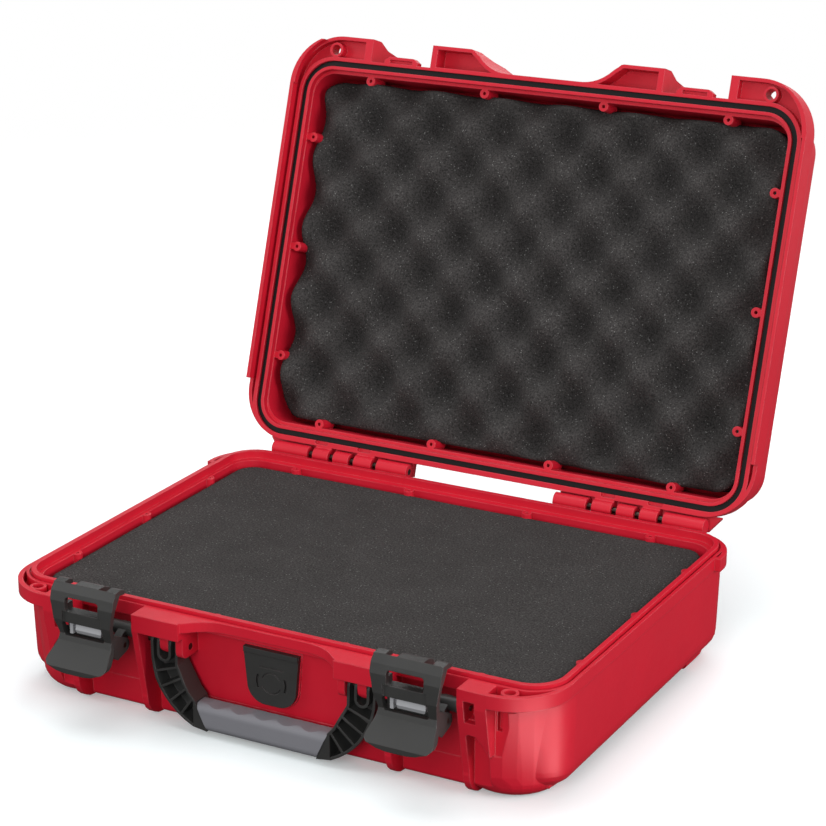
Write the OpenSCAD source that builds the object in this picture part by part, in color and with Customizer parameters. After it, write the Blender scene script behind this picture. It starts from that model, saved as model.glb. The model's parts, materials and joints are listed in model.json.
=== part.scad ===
// Small hard protective carry case, shown open: a base and a lid of moulded plastic,
// two lever latches, a swing handle, a pressure vent, a sealing ring and foam.
// Millimetres, +Z up. X runs left to right, the front faces -Y, and Z = 0 is the floor.

/* [Case] */
// Inside width of the base and the lid at their ledges
inner_w = 335; // [310:1:360]
// Inside depth of the base and the lid at their ledges
inner_d = 234; // [216:1:256]
// Height of the base, from the floor to the top of the sealing tongue
base_h = 70; // [66:1:90]
// Height of the closed lid above the sealing tongue
lid_h = 40; // [36:1:60]
// Angle of the lid when it rests open
lid_open = 108.5; // [95:0.5:112]
// Thickness of the front and back walls
wall = 4.5; // [3.5:0.25:5.5]
// Thickness of the base's floor and the lid's top
floor_t = 3.5; // [2.5:0.25:5]
// Taper of the walls in degrees
draft = 1.5; // [0.5:0.25:2.5]
// Radius of the base's lower edge and the lid's upper edge
edge_r = 12; // [8:0.5:15]
// Height of the corner feet
foot_h = 5; // [3:0.5:6]

/* [Seal] */
// Width of the base's sealing tongue
tongue_t = 3; // [2.4:0.1:3.4]
// Corner radius of the seal's centre line
seal_r = 20; // [17:0.5:24]
// Ledge between the side walls and the seal's centre line
side_ledge = 4.5; // [4.5:0.1:6]
// Ledge between the front or back wall and the seal's centre line
front_ledge = 6.2; // [6:0.1:8]
// Depth of the inside ledge below the top of the tongue
ledge_drop = 5; // [4:0.25:7]
// Play between parts that close or move past each other
play = 0.3; // [0.2:0.05:0.4]

/* [Rim] */
// Reach of the front flange beyond the seal's centre line
front_reach = 18.3; // [17:0.1:20]
// Height of the flange band round either half
band_h = 8; // [6:0.5:9]
// Radius of the case's front corners
corner_r = 34; // [31:0.5:37]
// Radius of the case's back corners
back_r = 32; // [29:0.5:34]
// Thickness of the lid's overlapping skirt
skirt_t = 2.4; // [2:0.1:3]
// Length of the lid's skirt below its rim
skirt_h = 5.5; // [3:0.1:6.5]
// Radius of the padlock holes in the front corners
eyelet_r = 3.3; // [2.5:0.1:3.6]
// Distance of the padlock holes from the middle of the case
eyelet_x = 152.5; // [149:0.5:156]

/* [Screw bosses] */
// Radius of the small screw bosses along the inside ledge
boss_r = 3.2; // [2.6:0.1:3.4]
// Radius of the bosses' screw holes
boss_hole_r = 1.1; // [0.8:0.05:1.4]
// Height of the bosses
boss_h = 15; // [10:1:20]
// Spacing of the bosses along the front and back
boss_pitch = 84; // [78:0.5:88]
// Spacing of the bosses along the sides
side_boss_pitch = 73.5; // [68:0.5:78]

/* [Hinges] */
// Radius of the hinge knuckles
knuckle_r = 5; // [4.2:0.1:5.4]
// Radius of the steel hinge pins
hinge_pin_r = 2; // [1.5:0.1:2.5]
// Play between a pin and the hole it turns in
pin_play = 0.05; // [0.02:0.01:0.1]
// Gap between two knuckles
knuckle_gap = 4; // [1:0.25:4.5]

/* [Latches] */
// Distance of each latch from the middle of the case
latch_x = 103.5; // [102:0.25:105]
// Width of the pocket that a latch folds into
latch_gap = 44; // [43.5:0.25:45.5]
// Width of the latch lever at its claw
lever_w = 42.5; // [40:0.25:42.5]
// Width of the latch lever at its waist
waist_w = 35.5; // [34.5:0.25:37]
// Thickness of the latch lever's walls
lever_t = 3; // [2.6:0.1:3.4]
// Radius of the latch pins
latch_pin_r = 1.6; // [1.2:0.1:1.9]
// Thickness of the ribs beside the latches
rib_t = 4; // [3:0.25:4.5]

/* [Handle] */
// Width of the swing handle over its arms
handle_w = 147; // [146:0.5:148]
// Width of each handle arm
arm_w = 18.4; // [17.5:0.1:18.6]
// Depth of the handle from front to back
handle_d = 13; // [11:0.25:13.5]
// Drop of the handle from its pivot to its lowest point
handle_drop = 47; // [44:0.5:48]
// Radius of the handle's pivot pins
handle_pin_r = 2; // [1.5:0.1:2.5]
// Length of the soft grip along its top
grip_w = 86; // [80:1:90]
// Height of the soft grip
grip_h = 16.5; // [14:0.25:17.5]

/* [Vent] */
// Width of the vent's cover
vent_w = 36; // [30:0.5:40]
// Height of the vent's cover
vent_h = 33.5; // [30:0.5:35]
// Radius of the ring of slots in the vent's cover
vent_ring_r = 8.5; // [7:0.25:10]

/* [Foam] */
// Thickness of the bottom pad
pad_t = 8; // [5:1:12]
// Pitch of the lid foam's bumps
bump_pitch = 34.5; // [30:0.5:40]
// Height of the lid foam's bumps
bump_h = 13; // [8:1:16]

/* [Hidden] */
$fn = 48;

red = [0.78, 0.1, 0.15];
black = [0.2, 0.2, 0.2];
grip_grey = [0.47, 0.47, 0.5];
slide_grey = [0.66, 0.67, 0.68];
steel = [0.62, 0.63, 0.62];
foam_grey = [0.24, 0.23, 0.22];
rubber = [0.17, 0.14, 0.12];

// Heights below are measured from the top of the sealing tongue.
flange_z = -2;
lip_z = flange_z + play;
body_z = foot_h - base_h;
lid_ledge_z = 3;
lid_roof_z = lid_h - floor_t;

// The seal's centre line, and what lies beyond it
seal_x = inner_w / 2 + side_ledge;
seal_y = inner_d / 2 + front_ledge;
groove_w = 1.2;
rim_wall = 4.4;
side_x = seal_x + 5;
wall_y = inner_d / 2 + wall;
front_y = seal_y + front_reach;
back_y = seal_y + 5.3;
inner_r = seal_r - side_ledge;
rim_x = side_x + play + 1.1 + skirt_t;
corner_y = front_y - corner_r;
near_x = latch_x + latch_gap / 2;
// The corners below the band: their radius, how far they stand back, and how far they lean in
mass_r = corner_r + 10.5;
mass_in = 5;
mass_lean = 4.6;
mass_at = [side_x - 1 - mass_r, mass_in + mass_r - front_y];
eyelet_y = front_y - 9.3;
eyelet_ring = 1.6;

// The hinge
hinge_y = back_y + knuckle_r + 1;
hinge_z = -1;
hinge_inset = 23;
knuckle_w = [22.5, 13, 11.5, 11.5, 27];
function total(v, i = 0) = i < len(v) ? v[i] + total(v, i + 1) : 0;
hinge_in = side_x - hinge_inset - total(knuckle_w) - 4 * knuckle_gap;

// The latch: its two pins when it stands open, in y and z
base_pin = [-(front_y - 9), -16];
link_pin = [-(front_y + 0.5), -21.5];
knuckle = 4.3;
lip_y = front_y + 26.8;
arch_half = 51;
arch_run = 27;
arch_depth = front_reach - tongue_t / 2 - groove_w - 2;

// The handle
pivot = [-(front_y - 12.8), -20];
arm_x = (handle_w - arm_w) / 2;
prong_gap = 6.2;
web_t = prong_gap - 2 * play;
lug_t = 4.5;
lug_x = arm_x - arm_w / 2 - play - lug_t;
grip_low = pivot[1] - handle_drop;

vent_z = -33;
plug_r = 5.5;
foam_gap = 1.5;

// Front edge of the lid's ribs and blocks, from the rim up to the lid's top, in y and z
lid_front = [[-front_y, lip_z], [-front_y, 9], [-front_y + 4.5, 20], [-front_y + 6.5, lid_h - 6],
    [-front_y + 9, lid_h - 2], [-front_y + 13, lid_h]];

// The case is centred over the floor from the latch's lip to the open lid's farthest edge
lid_reach = max([for (p = lid_front)
    hinge_y + (p[0] - hinge_y) * cos(lid_open) + (p[1] - hinge_z) * sin(lid_open)]);
case_shift = (lip_y - lid_reach) / 2;

function arc(c, r, from, to, n = 6) =
    [for (i = [0:n]) let (a = from + (to - from) * i / n) c + r * [cos(a), sin(a)]];

// Puts a piece drawn from the tongue's top onto the floor
module stand() {
    translate([0, case_shift, base_h]) children();
}

// Swings a piece of the closed lid open about the hinge
module swung() {
    stand()
        translate([0, hinge_y, hinge_z])
            rotate([-lid_open, 0, 0])
                translate([0, -hinge_y, -hinge_z])
                    children();
}

module both() {
    for (side = [0, 1]) mirror([side, 0, 0]) children();
}

module box(from, to) {
    translate(from) cube(to - from);
}

// A bar along X from x0 to x1 with a section drawn in y and z
module along_x(x0, x1) {
    translate([x0, 0, 0]) rotate([90, 0, 90]) linear_extrude(x1 - x0) children();
}

// A bar along Y from y0 to y1 with a section drawn in x and z
module along_y(y0, y1) {
    translate([0, y1, 0]) rotate([90, 0, 0]) linear_extrude(y1 - y0) children();
}

module rod_x(x0, x1, at, r) {
    translate([x0, at[0], at[1]]) rotate([0, 90, 0]) cylinder(h = x1 - x0, r = r);
}

// Carries a section, drawn outward from the corner centre, round a rounded rectangle
module round_run(hx, hy, r) {
    both() {
        translate([hx - r, hy - r, 0]) rotate_extrude(angle = 90) children();
        translate([hx - r, -hy + r, 0]) rotate([0, 0, -90]) rotate_extrude(angle = 90) children();
        translate([hx - r, hy - r, 0]) rotate([90, 0, 0]) linear_extrude(2 * (hy - r)) children();
    }
    for (turn = [0, 180])
        rotate([0, 0, turn])
            translate([-(hx - r), hy - r, 0])
                rotate([90, 0, 90]) linear_extrude(2 * (hx - r)) children();
}

// A ring of rectangular section about the seal's centre line
module seal_ring(inside, outside, z0, z1) {
    round_run(seal_x, seal_y, seal_r)
        translate([seal_r + inside, z0]) square([outside - inside, z1 - z0]);
}

// A solid block with rounded corners, its section drawn outward from the corner centre
module round_block(hx, hy, r, z0, z1) {
    round_run(hx, hy, r) children();
    translate([-(hx - r) - r / 2, -hy + r / 2, z0]) cube([2 * hx - r, 2 * hy - r, z1 - z0]);
}

module plain_block(hx, hy, r, z0, z1) {
    round_run(hx, hy, r) translate([0, z0]) square([r, z1 - z0]);
    translate([-(hx - r), -(hy - r), z0]) cube([2 * (hx - r), 2 * (hy - r), z1 - z0]);
}

// Section of a wall with its taper and its rounded edge, from the rim at z0 to its far side at z1
module wall_section(r, z0, z1, edge) {
    lean = abs(z1 - z0) * tan(draft);
    up = z1 > z0 ? 1 : -1;
    turn = [for (p = arc([0, 0], edge, 0, 90)) [r - lean - edge + p[0], z1 + up * (p[1] - edge)]];
    polygon(concat([[0, z0], [r, z0]], turn, [[0, z1]]));
}

// Either half's hollow, from its ledge to its floor or roof
module cavity(z0, z1) {
    edge = inner_r / 2;
    round_block(inner_w / 2, inner_d / 2, inner_r, min(z0, z1), max(z0, z1))
        wall_section(inner_r, z0, z1, edge);
}

// Either half's outer body behind the seal, from its rim to its far side
module body(z0, z1) {
    round_block(side_x, wall_y, seal_r + 2, min(z0, z1), max(z0, z1))
        wall_section(seal_r + 2, z0, z1, edge_r);
}

// Places of the screw bosses: along the front and back, and along the sides
function boss_spots(inset_x, inset_y) = concat(
    [for (x = [-1.5, -0.5, 0.5, 1.5], s = [-1, 1]) [x * boss_pitch, s * (inner_d / 2 - inset_y)]],
    [for (y = [-1, 0, 1], s = [-1, 1]) [s * (inner_w / 2 - inset_x), y * side_boss_pitch]]);

module boss_posts(inset_x, inset_y, r, z0, z1) {
    for (p = boss_spots(inset_x, inset_y))
        translate([p[0], p[1], z0]) cylinder(h = z1 - z0, r = r);
}

// Plan of the front edge: it reaches out in blocks, and draws in quickly between them
module front_plan(reach, depth, from_y) {
    steps = 8;
    curve = concat([[arch_half + 2.6, -reach], [arch_half + 0.8, -reach + 0.5], [arch_half - 0.7, -reach + 1.9]],
        [for (i = [1:steps]) let (t = i / steps)
            [arch_half - arch_run * t, -reach + depth * (1 - pow(1 - t, 2.5))]]);
    left = [for (p = curve) [-p[0], p[1]]];
    right = [for (i = [len(curve) - 1:-1:0]) curve[i]];
    end = latch_x - latch_gap / 2;
    polygon(concat([[-end, from_y], [-end, -reach]], left, right, [[end, -reach], [end, from_y]]));
}

// A disc with a rounded rim, as thick as the edge's rounding
module rounded_disc(r) {
    rotate_extrude()
        intersection() {
            union() {
                translate([r - edge_r, 0]) circle(edge_r);
                translate([0, -edge_r]) square([r - edge_r, 2 * edge_r]);
            }
            translate([0, -edge_r]) square([r, 2 * edge_r]);
        }
}

// One front corner, rounded in plan, leaning in, rounded over at its far side, with or without a foot
module corner_mass(z0, z1, foot) {
    up = z1 > z0 ? 1 : -1;
    low_r = mass_r - mass_lean;
    intersection() {
        hull($fn = 32) {
            for (x = [near_x, mass_at[0]]) {
                translate([x, mass_at[1], min(z0, z0 + up)]) cylinder(h = 1, r = mass_r);
                translate([x, mass_at[1], z1 - up * edge_r]) rounded_disc(low_r);
            }
            translate([mass_at[0] + 8, mass_at[1] - 6, z1 - up * (edge_r - foot)]) rounded_disc(low_r - 10);
        }
        box([near_x, -front_y, min(z0, z1) - foot], [side_x, 0, max(z0, z1)]);
    }
}

module quarter(r) {
    intersection() {
        circle(r, $fn = 96);
        square(r);
    }
}

// Plan of the right half's rim, from the latch round to the back; its side stands at reach
module rim_plan(reach) {
    translate([reach - corner_r, -corner_y]) mirror([0, 1]) quarter(corner_r);
    translate([near_x, -front_y]) square([reach - corner_r - near_x, front_y]);
    translate([0, -corner_y]) square([reach, corner_y + back_y - back_r]);
    translate([0, back_y - back_r - 4]) square([rim_x, 4]);
    translate([0, back_y - back_r - 4]) square([rim_x - back_r, back_r + 4]);
    translate([rim_x - back_r, back_y - back_r]) quarter(back_r);
}

module rim_band(reach, z0, z1) {
    both() translate([0, 0, z0]) linear_extrude(z1 - z0) rim_plan(reach);
}

// Plan of the rim round the seal
module seal_plan(grow) {
    hx = seal_x + grow;
    hy = seal_y + grow;
    r = seal_r + grow;
    square([2 * hx, 2 * (hy - r)], center = true);
    square([2 * (hx - r), 2 * hy], center = true);
    for (x = [-1, 1], y = [-1, 1]) translate([x * (hx - r), y * (hy - r)]) circle(r, $fn = 96);
}

// Pockets between the rim round the seal and the outer edge, and round the padlock hole
module rim_pockets(reach, skin, from_x, z0, z1) {
    both()
        translate([0, 0, z0])
            linear_extrude(z1 - z0)
                difference() {
                    intersection() {
                        offset(delta = -skin) rim_plan(reach);
                        translate([from_x, -front_y]) square([rim_x, front_y + back_y - back_r / 2]);
                    }
                    seal_plan(rim_wall);
                    translate([eyelet_x, -eyelet_y]) circle(eyelet_r + eyelet_ring);
                }
}

// Knuckles of one hinge half; which = 0 for the base's, 1 for the lid's
function knuckle_start(i) = i == 0 ? hinge_in : knuckle_start(i - 1) + knuckle_w[i - 1] + knuckle_gap;
hinge_out = knuckle_start(4) + knuckle_w[4];

module knuckles(which, z0, z1) {
    both()
        for (i = [which:2:4]) {
            rod_x(knuckle_start(i), knuckle_start(i) + knuckle_w[i], [hinge_y, hinge_z], knuckle_r);
            box([knuckle_start(i), back_y - 4, z0], [knuckle_start(i) + knuckle_w[i], hinge_y, z1]);
        }
}

module hinge_bores(which) {
    r = hinge_pin_r + (which == 1 ? pin_play : 0);
    both() rod_x(hinge_in - 1, hinge_out - 3, [hinge_y, hinge_z], r);
}

// Clears the other half's knuckles
module knuckle_room(which) {
    both()
        for (i = [which:2:4])
            rod_x(knuckle_start(i) - knuckle_gap / 2, knuckle_start(i) + knuckle_w[i] + knuckle_gap / 2,
                [hinge_y, hinge_z], knuckle_r + 0.6);
}

module eyelet_holes(z0, z1, clear0, clear1) {
    both() translate([eyelet_x, -eyelet_y, 0]) {
        translate([0, 0, z0]) cylinder(h = z1 - z0, r = eyelet_r);
        translate([0, 0, clear0]) cylinder(h = clear1 - clear0, r = eyelet_r + 0.5);
    }
}

// ---------- base ----------

// A rib beside a latch, its front edge curving back to a foot
module rib_plate(x0) {
    toe_r = 15;
    toe_in = 23;
    along_x(x0, x0 + rib_t)
        polygon(concat([[-wall_y + 2, flange_z], [-front_y, flange_z], [-front_y, -12],
            [-front_y + 4, -34], [-front_y + 8, -54]],
            arc([-front_y + toe_in, -base_h + toe_r], toe_r, 184, 270, 5),
            [[-wall_y + 10, -base_h], [-wall_y + 10, body_z + 8]]));
}

module handle_lugs() {
    web_r = 6;
    both() {
        along_x(lug_x, lug_x + lug_t)
            polygon(concat([[-wall_y + 2, flange_z], [-front_y + 4.5, flange_z]],
                arc([-front_y + 8.5, -21.5], 4, 180, 270, 4), [[-wall_y + 2, -25.5]]));
        // the web between the fork's prongs, pointed below
        intersection() {
            along_x(arm_x - web_t / 2, arm_x + web_t / 2)
                polygon(concat([[-wall_y + 2, -8], [pivot[0] - web_r, -8]], arc(pivot, web_r, 180, 270, 5),
                    [[-wall_y + 2, pivot[1] - web_r]]));
            along_y(-front_y, -wall_y + 2)
                translate([arm_x, 0])
                    polygon([[-web_t, 0], [-web_t, -18.5], [0, pivot[1] - web_r - 1], [web_t, -18.5], [web_t, 0]]);
        }
    }
}

// Front flange over the handle and the vent
module front_flange() {
    arch_t = 6;
    translate([0, 0, flange_z - arch_t]) linear_extrude(arch_t) front_plan(front_y, arch_depth, -wall_y + 2);
    both()
        box([lug_x, -front_y, -12.6], [latch_x - latch_gap / 2, -wall_y + 2, flange_z]);
}

// Window, slot, strap and pocket cored into the corner beside the outer latch rib
module corner_cores() {
    near = near_x + rib_t;
    both() {
        box([near, -front_y - 1, -21], [near + 6.5, -front_y + 12, -8.5]);
        box([near + 13.5, -front_y - 1, -42], [near + 21.5, -front_y + 11.5, flange_z - band_h]);
        box([near + 14.7, -front_y - 1, -27], [near + 17.7, -front_y + 15, -band_h - 3]);
        along_x(near, near + 11)
            polygon(concat([[-front_y - 1, -base_h - 1], [-front_y - 1, -30]],
                arc([-front_y + 8, -36], 6, 90, 0, 5),
                [[-front_y + 14, -base_h - 1]]));
    }
}

// The window's frame and the strap below it, flush with the rib
module corner_straps() {
    near = near_x + rib_t;
    both() {
        difference() {
            along_x(near - 1, near + 13.5)
                polygon([[-front_y, -6], [-front_y, -12], [-front_y + 4, -34], [-front_y + 5.5, -42],
                    [-front_y + 12, -42], [-front_y + 12, -6]]);
            box([near, -front_y - 1, -21.5], [near + 6.5, -front_y + 13, -8.5]);
            along_y(-front_y - 1, -front_y + 13)
                polygon(concat([[near, -43]], [[near, -31]],
                    arc([near + 2, -31], 2, 180, 90, 3), [[near + 6, -29.5]],
                    [[near + 9.5, -34], [near + 13.5, -41.5], [near + 14, -43]]));
        }
    }
}

// A plinth along the front and two feet at the back, under the base's floor
module feet() {
    inset = 9;
    foot = [55, 45];
    lean = (flange_z - body_z - edge_r) * tan(draft);
    intersection() {
        round_block(side_x - inset, wall_y - lean, seal_r, -base_h, body_z + edge_r)
            wall_section(seal_r, body_z + edge_r, -base_h, 3);
        box([-near_x, -wall_y, -base_h], [near_x, -wall_y + foot[1], 0]);
    }
    intersection() {
        round_block(side_x - inset, wall_y - inset / 2, seal_r, -base_h, body_z + 2)
            wall_section(seal_r, body_z + 2, -base_h, 3);
        both() box([side_x - foot[0], wall_y - foot[1], -base_h], [side_x, wall_y, 0]);
    }
}

module base_shell() {
    rib_in = latch_x - latch_gap / 2 - rib_t;
    rib_out = near_x;
    low = flange_z - band_h;
    color(red) stand() {
        difference() {
            union() {
                body(flange_z, body_z);
                plain_block(side_x, seal_y + 3.7, seal_r + 3, low, flange_z);
                rim_band(side_x, low, flange_z);
                both() {
                    corner_mass(low + 1, body_z, foot_h);
                    rib_plate(rib_in);
                    rib_plate(rib_out);
                }
                front_flange();
                vent_shield(0.8, -wall_y, -wall_y + 3);
                handle_lugs();
                feet();
                knuckles(0, -6, flange_z);
            }
            corner_cores();
            cavity(-ledge_drop, body_z + floor_t);
            plain_block(seal_x - tongue_t / 2, seal_y - tongue_t / 2, seal_r - tongue_t / 2, -ledge_drop, 1);
            seal_ring(tongue_t / 2, tongue_t / 2 + groove_w, flange_z - 2, 1);
            rim_pockets(side_x, 3, near_x + 17, flange_z - 6, 1);
            knuckle_room(1);
            hinge_bores(0);
            both() {
                rod_x(rib_in + rib_t / 2, rib_out + rib_t + 4, base_pin, latch_pin_r);
                rod_x(lug_x - 1, rib_in + rib_t / 2, pivot, handle_pin_r);
            }
            eyelet_holes(low - 1, 1, low - 5, low);
            translate([0, -wall_y - 1, vent_z]) rotate([-90, 0, 0]) cylinder(h = wall + 4, r = plug_r + play);
            translate([0, -inner_d / 2, vent_z]) rotate([-90, 0, 0]) cylinder(h = 4, r = plug_r + 4.5);
        }
        corner_straps();
        seal_ring(-tongue_t / 2, tongue_t / 2, -ledge_drop - 1, 0);
        difference() {
            boss_posts(0.5, 2.5, boss_r, -ledge_drop - boss_h, -ledge_drop);
            boss_posts(0.5, 2.5, boss_hole_r, -ledge_drop - boss_h + 3, 1);
        }
    }
}

// ---------- lid ----------

// A catch for the latch's claw: a bar grooved behind its edge, and cored from the rim
module lid_catches() {
    front = -front_y + 10.2;
    wide = 12.2;
    top = 4;
    both() translate([latch_x - 0.3, 0, 0])
        difference() {
            translate([0, 0, lip_z])
                linear_extrude(top - lip_z)
                    polygon([[-wide, -wall_y + 2], [-wide, front + 2.3], [-wide + 3.4, front],
                        [wide - 3.4, front], [wide, front + 2.3], [wide, -wall_y + 2]]);
            box([-8.2, front + 1.9, lip_z - 1], [8.2, -seal_y - 4, 0.6]);
            box([-9.2, front + 0.9, 1.9], [9.2, -seal_y - 3.7, top + 1]);
        }
}

module lid_front_section() {
    polygon(concat([[-wall_y + 2, lip_z]], lid_front, [[-wall_y + 8, lid_h], [-wall_y + 8, lid_h - 3]]));
}

// Blocks and ribs on either side of each latch, leaning back with the lid's front
module lid_blocks() {
    both() {
        intersection() {
            along_x(arch_half - arch_run, latch_x - latch_gap / 2) lid_front_section();
            linear_extrude(3 * lid_h, center = true) front_plan(front_y, arch_depth, 0);
        }
        along_x(near_x, near_x + rib_t) lid_front_section();
    }
}

// Coring seen in the lid's rim: boxes in the blocks and round the padlock holes
module lid_cores() {
    skin = 2.4;
    depth = 10;
    block_end = latch_x - latch_gap / 2 - rib_t;
    translate([0, 0, lip_z - 1])
        linear_extrude(depth - lip_z + 1)
            intersection() {
                offset(delta = -skin) front_plan(front_y, arch_depth, 0);
                both() translate([arch_half - arch_run, -front_y]) square([block_end - arch_half + arch_run,
                    front_y - seal_y - rim_wall]);
            }
    rim_pockets(rim_x, skirt_t, near_x + rib_t + 1.5, lip_z - 1, 4);
    both()
        for (x = [hinge_in + 30, hinge_in + 62]) {
            box([x + 1.2, back_y - 3.6, lip_z - 1], [x + 8.8, back_y - 1.2, lip_z + 2.5]);
            for (end = [1.2, 8.8]) translate([x + end, back_y - 2.4, lip_z - 1]) cylinder(h = 3.5, r = 1.2);
        }
}

// The skirt that laps over the base's rim, along the side and round the front corner
module lid_skirt() {
    low = lip_z - skirt_h;
    both() {
        box([rim_x - skirt_t, -corner_y, low], [rim_x, back_y - back_r - 5, lip_z + 1]);
        translate([0, 0, low])
            linear_extrude(skirt_h + 1)
                difference() {
                    translate([rim_x - corner_r, -corner_y])
                        intersection() {
                            circle(corner_r, $fn = 96);
                            translate([0, 3.5 - corner_r]) square([corner_r, corner_r - 3.5]);
                        }
                    translate([side_x - corner_r, -corner_y]) circle(corner_r + 2 * play, $fn = 96);
                }
    }
}

// The roof over the hinge knuckles
module hinge_roof() {
    both()
        translate([0, 0, knuckle_r + 0.6 + hinge_z])
            linear_extrude(band_h - knuckle_r - 0.6 - hinge_z)
                polygon([[hinge_in, back_y - 1], [hinge_in, hinge_y + 3.3], [hinge_out - 0.5, hinge_y + 3.3],
                    [hinge_out + 7, back_y], [hinge_out + 7, back_y - 1]]);
}

module lid_shell() {
    color(red) swung() {
        difference() {
            union() {
                body(lip_z, lid_h);
                plain_block(side_x, seal_y + 3.7, seal_r + 3, lip_z, band_h);
                rim_band(rim_x, lip_z, band_h);
                both() corner_mass(band_h - 1, lid_h, 0);
                translate([0, 0, lip_z]) linear_extrude(6) front_plan(front_y, arch_depth, -wall_y + 2);
                lid_blocks();
                lid_catches();
                lid_skirt();
                hinge_roof();
                knuckles(1, lip_z, 5);
            }
            cavity(lid_ledge_z, lid_roof_z);
            plain_block(seal_x - 4, seal_y - 4, seal_r - 4, lip_z - 1, lid_ledge_z);
            seal_ring(-tongue_t / 2 - play, tongue_t / 2 + play, lip_z - 1, 2.4);
            lid_cores();
            knuckle_room(0);
            hinge_bores(1);
            eyelet_holes(lip_z - 1, band_h + 1, band_h, 25);
        }
        difference() {
            union() {
                boss_posts(4.5, 2.5, boss_r, lid_ledge_z, lid_ledge_z + boss_h);
                for (p = boss_spots(4.5, 2.5))
                    translate([p[0], p[1], lid_ledge_z]) rotate([0, 0, abs(p[1]) > inner_d / 2 - 5
                        ? (p[1] > 0 ? 90 : -90) : (p[0] > 0 ? 0 : 180)])
                        translate([0, -boss_r * 0.7, 0]) cube([boss_r + 2.5, boss_r * 1.4, boss_h]);
            }
            boss_posts(4.5, 2.5, boss_hole_r, lid_ledge_z - 1, lid_ledge_z + boss_h - 3);
        }
    }
}

module lid_gasket() {
    color(rubber) swung()
        round_run(seal_x, seal_y, seal_r)
            translate([seal_r, 1.35])
                intersection() {
                    square([tongue_t + 2 * play, 2.1], center = true);
                    circle(2);
                }
}

module hinge_pin() {
    color(steel) stand() rod_x(hinge_in, hinge_out - 3, [hinge_y, hinge_z], hinge_pin_r);
}

// ---------- foam ----------

module base_foam_pad() {
    z0 = body_z + floor_t;
    color(foam_grey) stand()
        plain_block(inner_w / 2 - 3 * foam_gap - inner_r / 3, inner_d / 2 - 3 * foam_gap - inner_r / 3, inner_r,
            z0, z0 + pad_t);
}

module base_foam() {
    z0 = body_z + floor_t + pad_t;
    color(foam_grey) stand()
        difference() {
            plain_block(inner_w / 2 - 2 * foam_gap, inner_d / 2 - 2 * foam_gap, inner_r, z0, -ledge_drop - 2.5);
            boss_posts(0.5, 2.5, boss_r + play, -ledge_drop - boss_h - 1, 0);
            translate([0, -inner_d / 2, vent_z]) rotate([-90, 0, 0]) cylinder(h = 8, r = plug_r + 5, center = true);
        }
}

// The lid's foam: a slab with rows of rounded bumps facing the base
module lid_foam() {
    hx = inner_w / 2 - 2.5 * foam_gap;
    hy = inner_d / 2 - 2.5 * foam_gap;
    // four steps to a bump, and half bumps allowed at the edges
    nx = 2 * round(4 * hx / bump_pitch);
    ny = 2 * round(4 * hy / bump_pitch);
    valley = lid_ledge_z + bump_h + 1;
    function lift(i, j) = bump_h / 2 * (cos(90 * i) * cos(90 * j) + 1);
    // pulls a point near a corner in to the rounded outline
    function rounded(x, y) =
        let (dx = abs(x) - hx + inner_r, dy = abs(y) - hy + inner_r)
        dx <= 0 || dy <= 0 ? [x, y]
            : let (k = max(dx, dy) / norm([dx, dy]))
                [sign(x) * (hx - inner_r + k * dx), sign(y) * (hy - inner_r + k * dy)];
    function spot(i, j) = rounded(hx * (2 * i / nx - 1), hy * (2 * j / ny - 1));
    // the back is drawn in to clear the roof's rounded edge
    drawn = [1 - 7 / hx, 1 - 7 / hy];
    function at(i, j) = i * (ny + 1) + j;
    edge = concat([for (i = [0:nx - 1]) [i, 0]], [for (j = [0:ny - 1]) [nx, j]],
        [for (i = [nx:-1:1]) [i, ny]], [for (j = [ny:-1:1]) [0, j]]);
    count = len(edge);
    n = (nx + 1) * (ny + 1);
    points = concat(
        [for (i = [0:nx], j = [0:ny]) let (p = spot(i, j)) [p[0], p[1], valley - lift(i, j)]],
        [for (e = edge) let (p = spot(e[0], e[1])) [p[0] * drawn[0], p[1] * drawn[1], lid_roof_z]],
        [[0, 0, lid_roof_z]]);
    faces = concat(
        [for (i = [0:nx - 1], j = [0:ny - 1]) [at(i, j), at(i + 1, j), at(i, j + 1)]],
        [for (i = [0:nx - 1], j = [0:ny - 1]) [at(i + 1, j), at(i + 1, j + 1), at(i, j + 1)]],
        [for (k = [0:count - 1]) let (a = edge[k], b = edge[(k + 1) % count])
            [at(a[0], a[1]), n + (k + 1) % count, at(b[0], b[1])]],
        [for (k = [0:count - 1]) let (a = edge[k]) [at(a[0], a[1]), n + k, n + (k + 1) % count]],
        [for (k = [0:count - 1]) [n + count, n + (k + 1) % count, n + k]]);
    color(foam_grey) swung()
        difference() {
            polyhedron(points, faces);
            boss_posts(4.5, 2.5, boss_r + play, 0, lid_ledge_z + boss_h + 1);
        }
}

// ---------- latches ----------

// Outline of the lever seen from the front
module lever_front() {
    top = lever_w / 2;
    waist = waist_w / 2;
    right = [[top - 2.5, 15.5], [top - 0.6, 14.6], [top, 12], [top, 6], [top - 1, 1], [top - 1.9, -5],
        [waist, -14], [waist, -17.5], [waist + 1, -22], [waist + 2.6, -27], [waist + 2.5, -28.8],
        [waist + 0.8, -30.3], [waist - 6, -32.8], [waist - 12, -33.7]];
    left = [for (i = [len(right) - 1:-1:0]) [-right[i][0], right[i][1]]];
    polygon(concat(right, left));
}

// Section of the lever's front wall, from the claw down over the crease to the lip
wall_in = [-front_y - 17 + lever_t + 0.2, -6];
module lever_wall() {
    t = lever_t + 0.2;
    polygon(concat(
        [[-front_y - 12.3, 15.2], [-front_y - 15.2, 10.5], [-front_y - 16.8, 5], [-front_y - 17, -6],
        [-front_y - 13.6, -15.6], [-front_y - 15, -19.5], [-lip_y, -30.5], [-lip_y, -33.6]],
        [[-lip_y + 1.6, -33.6], [-front_y - 12.8, -22], [-front_y - 13.6 + t, -14],
        wall_in, [-front_y - 16.8 + t, 5], [-front_y - 8.4, 13]]));
}

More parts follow.
